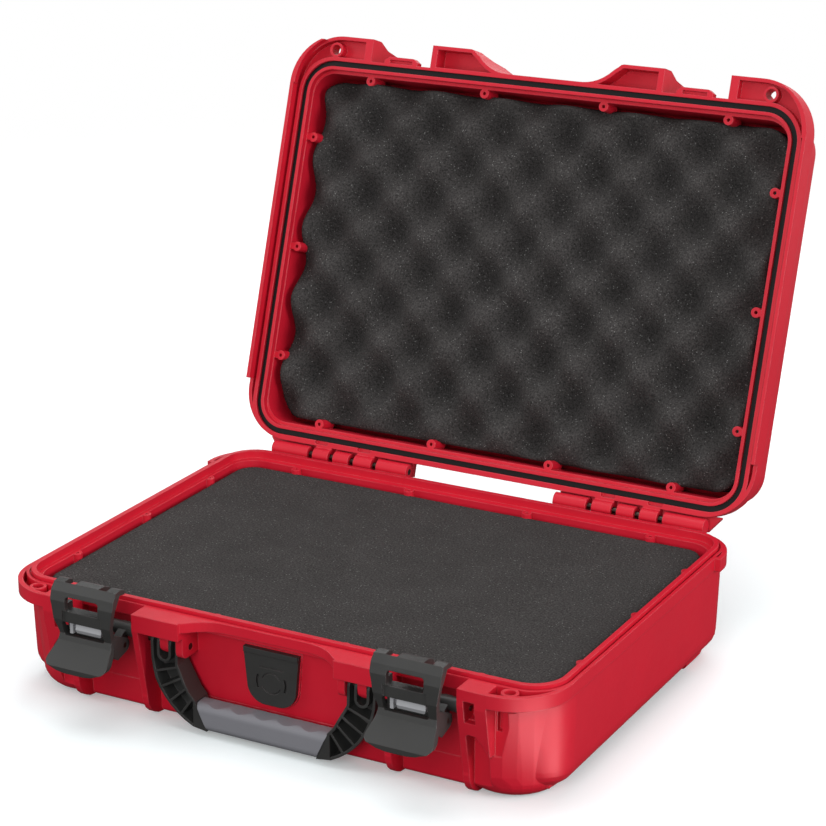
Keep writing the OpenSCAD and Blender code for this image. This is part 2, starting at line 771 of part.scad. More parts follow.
module lever_cheek() {
    hull($fn = 32) {
        rod_x(0, lever_t, link_pin, knuckle);
        along_x(0, lever_t)
            polygon([[-front_y - 12.5, -11], [-front_y - 9, -14.5], [-front_y - 8, -28], [-front_y - 14, -24],
                [-front_y - 13, -16]]);
    }
}

module latch_lever(side) {
    claw_half = 8;
    // the far left and right ends of the windows
    upper = [-11.3, 11.3];
    lower = [-14.4, 13];
    color(black) stand() translate([side * latch_x, 0, 0])
        difference() {
            union() {
                intersection() {
                    along_x(-lever_w / 2, lever_w / 2) lever_wall();
                    along_y(-lip_y - 5, -front_y) lever_front();
                }
                for (x = [-waist_w / 2, waist_w / 2 - lever_t]) translate([x, 0, 0]) lever_cheek();
                // the claw that hooks over the lid's catch
                along_x(-claw_half, claw_half)
                    polygon([[-front_y - 12.6, 14.4], [-front_y - 4, 13.9], [-front_y + 1.4, 11.4],
                        [-front_y + 2.2, 7.4], [-front_y + 0.2, 7.4], [-front_y - 0.6, 9.6], [-front_y - 13, 10.4]]);
                // raised shoulders at both ends of the hook
                for (x = [-lever_w / 2 + 0.3, lever_w / 2 - 7])
                    along_x(x, x + 6.7)
                        polygon([[-front_y - 12.6, 14.8], [-front_y - 7, 15.4], [-front_y - 3.5, 14],
                            [-front_y - 3.5, 11.6], [-front_y - 8, 12.2], [-front_y - 13, 10.4]]);
            }
            // the upper window
            along_y(-lip_y, -front_y - 9)
                offset(2) translate([upper[0] + 2, 1]) square([upper[1] - upper[0] - 4, 5]);
            // the lower window, which shows the slide lock, and the bar between the windows, set back
            along_y(-lip_y, -front_y - 9)
                offset(1.5) translate([lower[0] + 1.5, -15]) square([lower[1] - lower[0] - 3, 6]);
            box([lower[0] + 1, -lip_y, -8.5], [lower[1], -front_y - 15.7, -0.5]);
            rod_x(-waist_w, waist_w, link_pin, latch_pin_r);
        }
}

module latch_link(side) {
    eye = 4.1;
    half = waist_w / 2 - lever_t - play;
    color(black) stand() translate([side * latch_x, 0, 0])
        difference() {
            union() {
                rod_x(-half, half, link_pin, eye);
                rod_x(-latch_gap / 2 + play, latch_gap / 2 - play, base_pin, eye);
                for (x = [-half, half - 5])
                    along_x(x, x + 5)
                        polygon([base_pin + [-1.6, -eye], base_pin + [1.6, eye], link_pin + [1, eye], link_pin + [-1, -eye]]);
            }
            rod_x(-30, 30, link_pin, latch_pin_r + pin_play);
            rod_x(-30, 30, base_pin, latch_pin_r + pin_play);
        }
}

module latch_slide_guide(side) {
    half = waist_w / 2 - lever_t - play;
    back = -front_y - 7.9;
    floor_y = back - 1.6;
    color(black) stand() translate([side * latch_x, 0, 0]) {
        for (x = [-half, half - 2.5])
            along_x(x, x + 2.5)
                polygon([[back, 3], [wall_in[0] + 0.18, 3], [wall_in[0] + 0.1, -1.4], [back, -1.4]]);
        along_x(-half, half)
            polygon([[back, -1.4], [wall_in[0] + 0.1, -1.4], wall_in, [wall_in[0] + 0.4, -6.8], [floor_y, -6.8],
                [floor_y, -15], [back, -15]]);
    }
}

// The slide lock: a thumb piece with a ridge, and a post at its end that blocks the claw
module latch_slider(side) {
    back = -front_y - 9.5 - play;
    color(slide_grey) stand() translate([side * latch_x, 0, 0]) {
        intersection() {
            along_x(-6.2, 11.2)
                polygon([[back, -14.6], [back - 3.1, -14.2], [back - 4.7, -11.6], [back - 3.3, -8], [back, -7.4]]);
            along_y(back - 10, back)
                union() {
                    translate([-6.2, -20]) square([13.4, 20]);
                    translate([7.2, -11]) circle(4);
                }
        }
        box([-8.7, back - 0.8, -13], [-6, back, -8.4]);
        box([-10.7, back - 3.6, -15], [-8.6, back, -8.5]);
    }
}

module latch_base_pin(side) {
    color(steel) stand() translate([side * latch_x, 0, 0])
        rod_x(-latch_gap / 2 - rib_t - (side < 0 ? 0.5 : -2), latch_gap / 2 + rib_t + (side > 0 ? 0.5 : -2),
            base_pin, latch_pin_r);
}

module latch_link_pin(side) {
    color(steel) stand() translate([side * latch_x, 0, 0])
        rod_x(-waist_w / 2, waist_w / 2, link_pin, latch_pin_r);
}

// ---------- handle ----------

// Outline of one arm, seen from the front: a line inside, an arc outside and the fork round the case's web
arm_centre = [arm_x - 38.3, pivot[1] - 2];
arm_r = 47.2;
arm_top_in = arm_x - arm_w / 2;
arm_top_out = arm_x + arm_w / 2;
handle_y0 = pivot[0] - handle_d / 2 - 1.5;
handle_y1 = handle_y0 + handle_d;

module arm_outline() {
    prong_top = pivot[1] + 6.2;
    fork_z = pivot[1] - 5.1;
    difference() {
        polygon(concat(
            [[30, grip_low + 5], [grip_w / 2, grip_low + 17.5], [grip_w / 2 + 4, grip_low + 22],
            [arm_top_in, pivot[1] - 10], [arm_top_in, prong_top], [arm_top_out, prong_top]],
            arc(arm_centre, arm_r, -8, -66, 8),
            [[34, grip_low + 0.3]]));
        translate([arm_x - prong_gap / 2, fork_z]) square([prong_gap, -2 * fork_z]);
        translate([arm_x, fork_z]) circle(prong_gap / 2);
    }
}

// The arm's open channel, crossed by ribs
module arm_channel() {
    skin = 1.6;
    difference() {
        offset(delta = -skin) arm_outline();
        translate([0, grip_low]) square([grip_w / 2 + skin, grip_h + skin]);
        for (a = [-18, -30, -42, -54])
            translate(arm_centre) rotate(a) translate([0, -0.7]) square([arm_r, 1.4]);
    }
}

// Front view of the grip between its slanted ends; crest = 0 leaves out the finger scallops
module grip_outline(crest) {
    fingers = 5;
    span = grip_w / 2 - 5;
    steps = 60;
    top = [for (i = [0:steps])
        let (x = span - 2 * span * i / steps)
            [x, grip_low + grip_h - crest * (0.5 - 0.5 * cos(360 * fingers * (i / steps)))]];
    polygon(concat([[-grip_w / 2 + 7.5, grip_low + 0.6], [0, grip_low], [grip_w / 2 - 7.5, grip_low + 0.6],
        [grip_w / 2, grip_low + grip_h]], top, [[-grip_w / 2, grip_low + grip_h]]));
}

module grip_core() {
    mid_y = (handle_y0 + handle_y1) / 2;
    mid_z = grip_low + grip_h / 2 - 0.5;
    box([-grip_w / 2, mid_y - 3.2, mid_z - 3.5], [grip_w / 2, mid_y + 3.2, mid_z + 3.5]);
}

module handle_frame() {
    color(black) stand() {
        difference() {
            both()
                intersection() {
                    along_y(handle_y0, handle_y1) arm_outline();
                    along_x(0, handle_w / 2)
                        polygon(concat(arc(pivot, 6.2, 0, 180, 12),
                            [[pivot[0] - 6.9, pivot[1] - 13], [handle_y0, pivot[1] - 20], [handle_y0, grip_low - 1],
                            [handle_y1, grip_low - 1], [handle_y1, pivot[1] - 6]]));
                }
            along_y(handle_y0 - 1, handle_y1 + 1)
                polygon([[-grip_w / 2 + 7.5, grip_low], [grip_w / 2 - 7.5, grip_low],
                    [grip_w / 2, grip_low + grip_h], [grip_w / 2, grip_low + grip_h + 9],
                    [-grip_w / 2, grip_low + grip_h + 9], [-grip_w / 2, grip_low + grip_h]]);
            both() {
                along_y(handle_y0 - 1, handle_y1 - 3) arm_channel();
                rod_x(arm_top_in - 1, handle_w, pivot, handle_pin_r + pin_play);
            }
        }
        grip_core();
    }
}

module handle_grip() {
    r = 4.5;
    y0 = handle_y0 - 0.4;
    y1 = handle_y1 + 0.4;
    z0 = grip_low;
    z1 = grip_low + grip_h;
    color(grip_grey) stand()
        difference() {
            intersection() {
                along_y(y0, y1) grip_outline(1.1);
                along_x(-grip_w / 2, grip_w / 2)
                    polygon(concat(arc([y1 - r, z1 - r], r, 0, 90), arc([y0 + r, z1 - r], r, 90, 180),
                        arc([y0 + r, z0 + r], r, 180, 270), arc([y1 - r, z0 + r], r, 270, 360)));
            }
            grip_core();
        }
}

module handle_pin(side) {
    x0 = lug_x;
    x1 = latch_x - latch_gap / 2 - rib_t / 2;
    color(steel) stand()
        if (side > 0) rod_x(x0, x1, pivot, handle_pin_r);
        else rod_x(-x1, -x0, pivot, handle_pin_r);
}

// ---------- vent ----------

module vent_shield(grow, y0, y1) {
    top = vent_z + vent_h / 2 + 2;
    along_y(y0, y1)
        hull() {
            translate([-vent_w / 2 - grow, top - 1]) square([vent_w + 2 * grow, 1 + grow]);
            for (x = [-1, 1]) translate([x * vent_w / 8, vent_z - 3.3]) circle(vent_w * 0.317 + grow);
        }
}

module vent_cover() {
    front = -wall_y - 2.6;
    top = vent_z + vent_h / 2 + 2;
    color(black) stand() {
        difference() {
            vent_shield(0, front, -wall_y);
            // a fine line, a broken ring and two curved slots in its face
            box([-8, front - 1, vent_z + 7.8], [8, front + 0.5, vent_z + 8.4]);
            translate([0, front, vent_z - 1]) rotate([-90, 0, 0]) {
                difference() {
                    cylinder(h = 1, r = vent_ring_r - 2, center = true);
                    cylinder(h = 1, r = vent_ring_r - 2.6, center = true);
                    cube([vent_w, 5, 2], center = true);
                }
                intersection() {
                    difference() {
                        cylinder(h = 3, r = vent_ring_r + 1.6, center = true);
                        cylinder(h = 3, r = vent_ring_r + 0.2, center = true);
                    }
                    cube([vent_w, 8, 4], center = true);
                }
            }
        }
        // the folded lip along its top
        box([-vent_w / 2 + 0.4, front - 0.8, top - 3.2], [vent_w / 2 - 0.4, front, top]);
    }
}

module vent_body() {
    color(black) stand() translate([0, -wall_y, vent_z]) rotate([-90, 0, 0])
        difference() {
            cylinder(h = wall + 4, r = plug_r);
            translate([0, 0, 1.5]) cylinder(h = wall + 4, r = plug_r - 2);
        }
}

module vent_membrane() {
    color([0.85, 0.85, 0.83]) stand() translate([0, -wall_y + 1.5, vent_z]) rotate([-90, 0, 0])
        cylinder(h = 0.8, r = plug_r - 2);
}

module vent_o_ring() {
    color(rubber) stand() translate([0, -wall_y + wall + 0.7, vent_z]) rotate([-90, 0, 0])
        rotate_extrude() translate([plug_r + 0.9, 0]) circle(0.7, $fn = 24);
}

module vent_nut() {
    color(black) stand() translate([0, -wall_y + wall + 1.4, vent_z]) rotate([-90, 0, 0])
        difference() {
            cylinder(h = 2.4, r = plug_r + 3, $fn = 6);
            translate([0, 0, -1]) cylinder(h = 5, r = plug_r);
        }
}

base_shell();
lid_shell();
lid_gasket();
mirror([1, 0, 0]) hinge_pin();  // hinge_pin_left
hinge_pin();  // hinge_pin_right
base_foam();
base_foam_pad();
lid_foam();
latch_lever(-1);  // latch_lever_left
latch_lever(1);  // latch_lever_right
latch_link(-1);  // latch_link_left
latch_link(1);  // latch_link_right
latch_slide_guide(-1);  // latch_slide_guide_left
latch_slide_guide(1);  // latch_slide_guide_right
latch_slider(-1);  // latch_slider_left
latch_slider(1);  // latch_slider_right
latch_base_pin(-1);  // latch_base_pin_left
latch_base_pin(1);  // latch_base_pin_right
latch_link_pin(-1);  // latch_link_pin_left
latch_link_pin(1);  // latch_link_pin_right
handle_frame();
handle_grip();
handle_pin(-1);  // handle_pin_left
handle_pin(1);  // handle_pin_right
vent_cover();
vent_body();
vent_membrane();
vent_o_ring();
vent_nut();
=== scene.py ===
"""Looks of the open carry case: its foam, its finishes and the studio round it.

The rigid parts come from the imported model, and are given their materials here. The foam is built
here, in the space that its plain solids hold. Lengths are in metres.
"""

import json
import math

import bpy
from mathutils import Matrix, Vector, noise


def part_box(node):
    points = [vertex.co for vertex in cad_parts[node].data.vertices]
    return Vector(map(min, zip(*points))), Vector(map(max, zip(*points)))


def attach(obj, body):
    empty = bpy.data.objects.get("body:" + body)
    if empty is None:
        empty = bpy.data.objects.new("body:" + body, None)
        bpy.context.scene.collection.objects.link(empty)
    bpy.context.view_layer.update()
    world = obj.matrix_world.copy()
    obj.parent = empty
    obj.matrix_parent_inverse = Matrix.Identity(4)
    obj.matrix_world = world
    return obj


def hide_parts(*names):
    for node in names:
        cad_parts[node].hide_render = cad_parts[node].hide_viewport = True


bl_info = {
    "name": "Carry Case Looks",
    "version": (1, 0, 0),
    "blender": (4, 5, 0),
    "location": "3D View > Sidebar > Case",
    "description": "Foam, moulded finishes and a studio for the packed carry case",
    "category": "Object",
}

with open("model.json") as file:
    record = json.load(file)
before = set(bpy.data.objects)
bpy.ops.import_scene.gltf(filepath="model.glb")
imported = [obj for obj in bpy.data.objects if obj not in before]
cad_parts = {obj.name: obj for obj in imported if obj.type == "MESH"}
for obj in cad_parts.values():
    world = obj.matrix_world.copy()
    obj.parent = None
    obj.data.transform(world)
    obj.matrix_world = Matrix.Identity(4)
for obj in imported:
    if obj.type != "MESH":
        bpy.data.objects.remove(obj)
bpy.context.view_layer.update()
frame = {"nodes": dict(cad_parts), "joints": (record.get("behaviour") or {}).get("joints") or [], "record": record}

MM = 0.001

SHELLS = ["base_shell", "lid_shell"]
FOAM_NODES = ["base_foam", "base_foam_pad", "lid_foam"]

# the mesh attribute that tells how deep a point of the foam lies between the bumps, from 0 to 1; the foam's colour
# darkens with it as painted shade
HOLLOW = "hollow"

FOAM_CORNER = 14 * MM
PAD_GRID = 6 * MM

# where the rings of points round a foam's cut sides lie, as shares of its thickness
SIDE_SHARES = (0.12, 0.3, 0.5, 0.7, 0.88, 1.0)

# how quickly the foam's unevenness changes, in noise cells to the metre
SIDE_CHANGE = 40
SAG_CHANGE = 14
CRATE_CHANGE = 60
ASKEW_CHANGE = 9

# how far the egg-crate's bumps stray from their rows
ASKEW = 1.6 * MM

# levels at which a second noise is read, so that it does not follow the first
CRATE_LEVEL = 0.3
ASKEW_LEVEL = 7

# the two waves whose sum makes the bumps: direction along and across the lid, and where each starts
CRATE_WAVES = ((1.039, 0.910, -0.175), (0.963, -1.010, 0.814))

# name, place, aimed at, width, height, power in watts
LAMPS = (
    ("Top softbox", (-0.25, 0.0, 1.65), (0, 0.02, 0.1), 1.4, 1.0, 10),
    ("Front softbox", (0.45, -2.0, 0.8), (0, 0, 0.12), 0.9, 1.3, 21),
    ("Left fill", (-1.7, -1.0, 0.8), (0, 0, 0.12), 1.0, 1.2, 11),
    ("Right fill", (1.9, -0.1, 0.7), (0, 0, 0.12), 1.2, 1.2, 28),
    ("Back softbox", (-0.3, 1.7, 1.2), (0, 0.1, 0.15), 1.5, 0.9, 17),
)
# a card lying before the right corner, for the gloss of that corner
CORNER_CARD = ("Corner card", (0.235, -0.215, 0.003), (0.235, -0.215, 1), 0.10, 0.12, 0.27)

SENSOR_WIDTH = 36
WHITE = (1, 1, 1, 1)
AMBIENT = 0.42

FLOOR_RADIUS = 1.6
FLOOR_RINGS = 12
FLOOR_SPOKES = 64
# where the floor starts to clear and where it is clear, as shares of its radius
FLOOR_FADE = (0.35, 0.95)
FLOOR_GLOW = 0.16
# a little blue, against the red that the case casts on it
FLOOR_COLOUR = (0.84, 0.91, 0.92, 1)
# the floor as the case sees it, so that it sends up little light
FLOOR_DULL = (0.1, 0.1, 0.1, 1)

NODE_STEP = 180


# ---------- settings ----------


def length(name, description, default):
    """A length that a user may change."""
    return bpy.props.FloatProperty(
        name=name, description=description, default=default, min=0, unit="LENGTH", precision=4)


def colour(name, description, default):
    """A colour that a user may change, in linear values."""
    return bpy.props.FloatVectorProperty(
        name=name, description=description, default=default, size=3, min=0, max=1, subtype="COLOR")


class CaseFinishSettings(bpy.types.PropertyGroup):
    """Colours of the case's materials."""
    shell: colour("Shells", "Moulded plastic of the base and the lid", (0.56, 0.009, 0.026))
    hardware: colour("Hardware", "Plastic of the latches, handle and vent", (0.027, 0.027, 0.026))
    grip: colour("Grip", "Soft rubber over the handle", (0.185, 0.185, 0.205))
    slide: colour("Slide locks", "Plastic of the latches' slide locks", (0.34, 0.345, 0.36))
    foam: colour("Foam", "Open-cell foam in both halves", (0.050, 0.047, 0.0462))
    speck: colour("Foam specks", "Torn cells that catch the light", (0.24, 0.24, 0.235))
    seal: colour("Seal", "Rubber of the lid's seal and the vent's ring", (0.006, 0.005, 0.005))


class CaseFoamSettings(bpy.types.PropertyGroup):
    """Shape of the foam."""
    bump_pitch: length("Bump pitch", "Distance between neighbouring bumps in a row", 46.5 * MM)
    bump_height: length("Bump height", "Height of the bumps over their valleys", 13 * MM)
    grid: length("Grid", "Spacing of the foam's mesh", 1.7 * MM)
    edge: length("Edge radius", "Rounding where the foam was cut", 2.5 * MM)
    waviness: length("Waviness", "How far the cut surfaces wander", 0.5 * MM)


class CaseStageSettings(bpy.types.PropertyGroup):
    """The camera and the light."""
    camera_at: bpy.props.FloatVectorProperty(
        name="Camera", description="Place of the camera",
        default=(0.68676, -1.27033, 0.64002), subtype="XYZ")
    camera_turn: bpy.props.FloatVectorProperty(
        name="Camera turn", description="Rotation of the camera",
        default=(math.radians(71.09), math.radians(0.05), math.radians(28.41)), subtype="EULER")
    lens: bpy.props.FloatProperty(
        name="Lens", description="Focal length in millimetres on a 36 mm sensor",
        default=110.8, min=10)
    lamp_power: bpy.props.FloatProperty(
        name="Lamps", description="Brightness of all lamps", default=1.0, min=0)


def settings():
    """The scene's three groups of settings."""
    scene = bpy.context.scene
    return scene.case_finish, scene.case_foam, scene.case_stage


# ---------- node trees ----------


def add(tree, kind, **values):
    """A node with its properties set, and its sockets where the name is a socket's."""
    node = tree.nodes.new(kind)
    node.location.x = NODE_STEP * len(tree.nodes)
    for name, value in values.items():
        if hasattr(node, name):
            setattr(node, name, value)
        else:
            node.inputs[name.replace("_", " ")].default_value = value
    return node


def texture(tree, kind, place, **values):
    """The outputs of a texture that is read at a place."""
    node = add(tree, kind, **values)
    tree.links.new(place, node.inputs["Vector"])
    return node.outputs


def ranged(tree, value, **limits):
    """A value moved from one range to another."""
    node = add(tree, "ShaderNodeMapRange", **limits)
    tree.links.new(value, node.inputs["Value"])
    return node.outputs["Result"]


def reckoned(tree, operation, first, second, **values):
    """What a math node makes of two values."""
    node = add(tree, "ShaderNodeMath", operation=operation, **values)
    tree.links.new(first, node.inputs[0])
    tree.links.new(second, node.inputs[1])
    return node.outputs["Value"]


def scaled(tree, vector, factor):
    """A colour or vector times a value."""
    node = add(tree, "ShaderNodeVectorMath", operation="SCALE")
    tree.links.new(vector, node.inputs[0])
    tree.links.new(factor, node.inputs["Scale"])
    return node.outputs["Vector"]


def shaders_mixed(tree, factor, first, second):
    """The first shader where the factor is 0, and the second where it is 1."""
    node = add(tree, "ShaderNodeMixShader")
    tree.links.new(factor, node.inputs["Fac"])
    tree.links.new(first, node.inputs[1])
    tree.links.new(second, node.inputs[2])
    return node.outputs["Shader"]


def new_group(name, inputs, outputs):
    """A shader node group; an input is (name, socket type, default), an output (name, type)."""
    tree = bpy.data.node_groups.new(name, "ShaderNodeTree")
    for label, kind, default in inputs:
        tree.interface.new_socket(label, in_out="INPUT", socket_type=kind).default_value = default
    for label, kind in outputs:
        tree.interface.new_socket(label, in_out="OUTPUT", socket_type=kind)
    given, out = tree.nodes.new("NodeGroupInput"), tree.nodes.new("NodeGroupOutput")
    return tree, given.outputs, out.inputs


def moulded_surface():
    """Moulded plastic: a fine spark-eroded grain, faint flow marks, and a pale pink painted highlight along the
    edges, in patches.
    """
    found = bpy.data.node_groups.get("Moulded surface")
    if found:
        return found
    tree, given, out = new_group(
        "Moulded surface",
        [("Color", "NodeSocketColor", (0.5, 0.5, 0.5, 1)), ("Rubbed", "NodeSocketFloat", 0.25),
         ("Roughness", "NodeSocketFloat", 0.4), ("Edge Size", "NodeSocketFloat", 0.6 * MM)],
        [("Color", "NodeSocketColor"), ("Roughness", "NodeSocketFloat"),
         ("Height", "NodeSocketFloat"), ("Normal", "NodeSocketVector")])
    link = tree.links.new
    place = add(tree, "ShaderNodeTexCoord").outputs["Object"]

    # texture scales are in cells to the metre
    noisy = "ShaderNodeTexNoise"
    grain = texture(tree, noisy, place, Scale=2600, Detail=3, Roughness=0.6)["Fac"]
    flow = texture(tree, noisy, place, Scale=22, Detail=4, Roughness=0.55)["Fac"]
    patch_noise = texture(tree, noisy, place, Scale=90, Detail=6, Roughness=0.7)["Fac"]

    # an edge is where the rounded normal leaves the flat one
    rounded = add(tree, "ShaderNodeBevel", samples=4)
    link(given["Edge Size"], rounded.inputs["Radius"])
    facing = add(tree, "ShaderNodeVectorMath", operation="DOT_PRODUCT")
    link(rounded.outputs["Normal"], facing.inputs[0])
    link(add(tree, "ShaderNodeNewGeometry").outputs["Normal"], facing.inputs[1])
    edge = ranged(tree, facing.outputs["Value"], From_Min=0.998, From_Max=0.86)
    # painted highlight: the edges are picked out where the rounded normal leaves the flat one, in patches
    highlight_patches = ranged(tree, patch_noise, From_Min=0.35, From_Max=0.75)
    painted_highlight_mask = reckoned(tree, "MULTIPLY", edge, highlight_patches)

    shade = ranged(tree, flow, From_Min=0.3, From_Max=0.7, To_Min=0.97, To_Max=1.03)
    # painted highlight: a pale pink mixed into the colour along the edges stands in for the reflections that run
    # along them
    edge_highlight_paint = add(tree, "ShaderNodeMix", data_type="RGBA", B=(0.78, 0.36, 0.40, 1))
    link(reckoned(tree, "MULTIPLY", painted_highlight_mask, given["Rubbed"]), edge_highlight_paint.inputs["Factor"])
    link(scaled(tree, given["Color"], shade), edge_highlight_paint.inputs["A"])
    link(edge_highlight_paint.outputs["Result"], out["Color"])

    spread = ranged(tree, patch_noise, From_Min=0.3, From_Max=0.7, To_Min=-0.05, To_Max=0.06)
    rough = reckoned(tree, "ADD", given["Roughness"], spread, use_clamp=True)
    link(rough, out["Roughness"])
    link(grain, out["Height"])
    link(rounded.outputs["Normal"], out["Normal"])
    return tree


def foam_cells():
    """Open-cell foam: fine cells, a soft mottle, a few torn cells that catch the light, and painted shade between
    the bumps.
    """
    found = bpy.data.node_groups.get("Foam cells")
    if found:
        return found
    tree, given, out = new_group(
        "Foam cells",
        [("Color", "NodeSocketColor", (0.05, 0.05, 0.05, 1)),
         ("Speck", "NodeSocketColor", (0.4, 0.4, 0.4, 1)), ("Hollow", "NodeSocketFloat", 0.0)],
        [("Color", "NodeSocketColor"), ("Height", "NodeSocketFloat")])
    link = tree.links.new
    place = add(tree, "ShaderNodeTexCoord").outputs["Object"]

    # texture scales are in cells to the metre
    cells = texture(tree, "ShaderNodeTexVoronoi", place, Scale=1500)
    mottle = texture(tree, "ShaderNodeTexNoise", place, Scale=900, Detail=4, Roughness=0.7)
    cloud = texture(tree, "ShaderNodeTexNoise", place, Scale=30, Detail=3, Roughness=0.6)
    torn = texture(tree, "ShaderNodeTexVoronoi", place, Scale=1250)

    grain = ranged(tree, mottle["Fac"], From_Min=0.34, From_Max=0.66, To_Min=0.45, To_Max=1.55)
    drift = ranged(tree, cloud["Fac"], From_Min=0.3, From_Max=0.7, To_Min=0.9, To_Max=1.1)
    # painted shade: the colour is darkened to 0.55 where the foam lies deepest between the bumps
    painted_hollow_shade = ranged(tree, given["Hollow"], To_Min=1.0, To_Max=0.55)
    shade = reckoned(tree, "MULTIPLY", reckoned(tree, "MULTIPLY", grain, drift), painted_hollow_shade)

    # each torn cell has its own red value, and only the highest ones are flecks
    split = add(tree, "ShaderNodeSeparateColor")
    link(torn["Color"], split.inputs["Color"])
    rare = ranged(tree, split.outputs["Red"], From_Min=0.935, From_Max=1.0)
    near = ranged(tree, torn["Distance"], From_Min=0.5, From_Max=0.2)
    flecked = add(tree, "ShaderNodeMix", data_type="RGBA")
    link(reckoned(tree, "MULTIPLY", rare, near), flecked.inputs["Factor"])
    link(scaled(tree, given["Color"], shade), flecked.inputs["A"])
    link(given["Speck"], flecked.inputs["B"])
    link(flecked.outputs["Result"], out["Color"])
    link(reckoned(tree, "ADD", cells["Distance"], mottle["Fac"]), out["Height"])
    return tree


def new_material(name, **shader):
    """A material and its shader, with shader's constants on the shader's own sockets."""
    material = bpy.data.materials.new(name)
    material.use_nodes = True
    surface = material.node_tree.nodes["Principled BSDF"]
    for socket, value in shader.items():
        surface.inputs[socket.replace("_", " ")].default_value = value
    return material, material.node_tree, surface


def moulded(name, base, roughness, painted_edge_highlight, grain_height, edge=0.6 * MM, **shader):
    """A moulded plastic or rubber, whose edges get a painted highlight of the given strength, from 0 to 1."""
    found = bpy.data.materials.get(name)
    if found:
        return found
    material, tree, surface = new_material(name, **shader)
    look = add(tree, "ShaderNodeGroup", node_tree=moulded_surface(), Color=(*base, 1),
               Roughness=roughness, Rubbed=painted_edge_highlight, Edge_Size=edge)
    bump = add(tree, "ShaderNodeBump", Strength=0.35, Distance=grain_height)
    link = tree.links.new
    link(look.outputs["Height"], bump.inputs["Height"])
    link(look.outputs["Normal"], bump.inputs["Normal"])
    link(bump.outputs["Normal"], surface.inputs["Normal"])
    link(look.outputs["Color"], surface.inputs["Base Color"])
    link(look.outputs["Roughness"], surface.inputs["Roughness"])
    return material


def foam_material(name, base, speck):
    """Charcoal open-cell foam, with painted shade darkening it between its bumps."""
    found = bpy.data.materials.get(name)
    if found:
        return found
    material, tree, surface = new_material(name, Roughness=1, Specular_IOR_Level=0.06)
    look = add(tree, "ShaderNodeGroup", node_tree=foam_cells(), Color=(*base, 1),
               Speck=(*speck, 1))
    hollow = add(tree, "ShaderNodeAttribute", attribute_name=HOLLOW)
    bump = add(tree, "ShaderNodeBump", Strength=0.6, Distance=0.35 * MM)
    link = tree.links.new
    link(hollow.outputs["Fac"], look.inputs["Hollow"])
    link(look.outputs["Height"], bump.inputs["Height"])
    link(bump.outputs["Normal"], surface.inputs["Normal"])
    link(look.outputs["Color"], surface.inputs["Base Color"])
    return material


def drawn_steel(name):
    """Dull steel rod with fine lines drawn along it, its colour a very dark brown: partly its own tone, partly
    painted shade for the pins deep in the hinge's gaps.
    """
    found = bpy.data.materials.get(name)
    if found:
        return found
    # partly painted shade: the base colour is kept far darker than bare steel, as the pins look in the shaded
    # hinge gaps
    material, tree, surface = new_material(name, Metallic=1, Base_Color=(0.075, 0.06, 0.05, 1))
    stretch = add(tree, "ShaderNodeMapping", Scale=(0.05, 1, 1))
    bump = add(tree, "ShaderNodeBump", Strength=0.2, Distance=0.02 * MM)
    link = tree.links.new
    link(add(tree, "ShaderNodeTexCoord").outputs["Object"], stretch.inputs["Vector"])
    lines = texture(
        tree, "ShaderNodeTexNoise", stretch.outputs["Vector"], Scale=3000, Detail=2)["Fac"]
    link(ranged(tree, lines, To_Min=0.25, To_Max=0.5), surface.inputs["Roughness"])
    link(lines, bump.inputs["Height"])
    link(bump.outputs["Normal"], surface.inputs["Normal"])
    return material


def finishes():
    """Every material by the record's slot name."""
    finish = settings()[0]
    return {
        "red_plastic": moulded(
            "Case shell", finish.shell, roughness=0.42, painted_edge_highlight=0.3, grain_height=0.10 * MM,
            edge=0.8 * MM, Specular_IOR_Level=0.3),
        "black_plastic": moulded(
            "Black hardware", finish.hardware, roughness=0.42, painted_edge_highlight=0.05,
            grain_height=0.12 * MM),
        "grip_rubber": moulded(
            "Grip rubber", finish.grip, roughness=0.62, painted_edge_highlight=0.0, grain_height=0.16 * MM),
        "slide_grey": moulded(
            "Slide lock", finish.slide, roughness=0.38, painted_edge_highlight=0.05, grain_height=0.06 * MM,
            edge=0.4 * MM),
        "seal_rubber": moulded(
            "Seal rubber", finish.seal, roughness=0.5, painted_edge_highlight=0.0, grain_height=0.08 * MM,
            edge=0.3 * MM, Specular_IOR_Level=0.2),
        "membrane": moulded(
            "Membrane", (0.75, 0.75, 0.73), roughness=0.8, painted_edge_highlight=0.0, grain_height=0.05 * MM),
        "foam": foam_material("Charcoal foam", finish.foam, finish.speck),
        "steel": drawn_steel("Drawn steel"),
    }


def dress(nodes):
    """Gives CAD nodes their materials by the record's slots."""
    looks = finishes()
    slots = {part["node"]: part["material_slot"] for part in frame["record"]["subparts"]}
    for name in nodes:
        data = frame["nodes"][name].data
        data.materials.clear()
        data.materials.append(looks[slots[name]])


# ---------- foam ----------


def lid_to_rest():
    """The turn that takes the shut lid to where it rests open."""
    joint = next(j for j in frame["joints"] if j["name"] == "lid_hinge")
    pivot = Matrix.Translation(joint["pos_m"])
    turn = Matrix.Rotation(-math.radians(joint["range_deg"][1]), 4, Vector(joint["axis"]))
    return pivot @ turn @ pivot.inverted()


def node_box(name, undo):
    """Lowest and highest corner of a CAD node once a turn is undone."""
    back = undo.inverted()
    points = [back @ v.co for v in frame["nodes"][name].data.vertices]
    return [Vector([pick(p[k] for p in points) for k in range(3)]) for pick in (min, max)]


def past_corner(x, y, half_x, half_y):
    """How far a point lies beyond the nearest centre of the foam's rounded corners, each way."""
    return abs(x) - half_x + FOAM_CORNER, abs(y) - half_y + FOAM_CORNER


